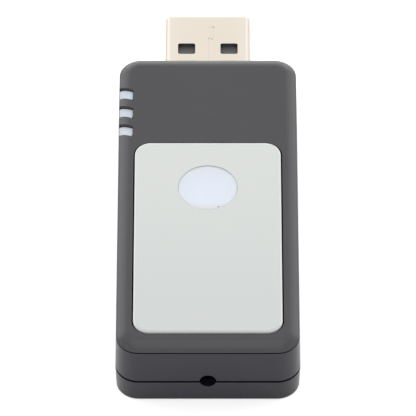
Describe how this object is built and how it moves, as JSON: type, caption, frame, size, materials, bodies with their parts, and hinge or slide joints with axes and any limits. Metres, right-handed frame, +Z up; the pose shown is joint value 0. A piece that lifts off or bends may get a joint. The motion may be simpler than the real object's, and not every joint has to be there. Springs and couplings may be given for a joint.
{
  "type": "usb plug-in radio switch",
  "caption": "Plug-in controller with a two-shell housing, a USB-A plug, one large tilting key with a round lens, and side light bars.",
  "frame": {"origin": "on the resting plane, under the middle of the overall box", "axes": "+Y out of the plug, +Z up through the key, +X to the right seen from the near end"},
  "size_m": [0.025, 0.0665, 0.0109],
  "materials": {
    "dark_plastic": "fine satin moulding",
    "light_plastic": "satin",
    "milky_lens": "milky, diffusing",
    "nickel": "nickelled sheet, satin",
    "plug_plastic": "matt",
    "gold_contact": "gilt",
    "board": "solder mask",
    "tinned_steel": "tinned",
    "black_part": "matt",
    "grey_part": "satin",
    "lamp": "clear resin",
    "ceramic_part": "fired",
    "tantalum_part": "satin"
  },
  "bodies": {
    "housing": {"bar_lamp_1": "lamp", "bar_lamp_2": "lamp", "bar_lamp_3": "lamp", "ceramic_capacitor_1": "ceramic_part", "ceramic_capacitor_2": "ceramic_part", "ceramic_capacitor_3": "ceramic_part", "circuit_board": "board", "crystal": "tinned_steel", "diode": "black_part", "fuse": "black_part", "inductor": "black_part", "key_lamp": "lamp", "lower_shell": "dark_plastic", "main_switch_body": "black_part", "main_switch_cover": "tinned_steel", "main_switch_dome": "tinned_steel", "module_board": "board", "plug_contact_1": "gold_contact", "plug_contact_2": "gold_contact", "plug_contact_3": "gold_contact", "plug_contact_4": "gold_contact", "plug_insulator": "plug_plastic", "plug_shell": "nickel", "radio_chip": "black_part", "regulator": "black_part", "reset_switch_body": "black_part", "resistor_1": "black_part", "resistor_2": "black_part", "resistor_3": "black_part", "resistor_4": "black_part", "shield_can": "tinned_steel", "side_light_pipe": "milky_lens", "tantalum_capacitor_1": "tantalum_part", "tantalum_capacitor_2": "tantalum_part", "upper_shell": "dark_plastic"},
    "key": {"key_panel": "light_plastic", "key_lens": "milky_lens"},
    "main_stem": {"main_switch_stem": "black_part"},
    "reset_stem": {"reset_switch_stem": "grey_part"}
  },
  "joints": [
    {"name": "key_tilt", "type": "hinge", "parent": "housing", "child": "key", "pos_m": [0, -0.02739, 0.00932], "axis": [-1, 0, 0], "range_deg": [0, 0.483], "stiffness_Nm_per_rad": 5, "springref_deg": -0.11},
    {"name": "main_stem_slide", "type": "slide", "parent": "housing", "child": "main_stem", "axis": [0, 0, -1], "range_m": [0, 0.00025]},
    {"name": "reset_slide", "type": "slide", "parent": "housing", "child": "reset_stem", "axis": [0, 1, 0], "range_m": [0, 0.00025], "stiffness_N_per_m": 100, "springref_m": -0.0002}
  ],
  "couplings": [
    {"joint": "main_stem_slide", "follows": "key_tilt", "m_per_rad": 0.02963}
  ]
}
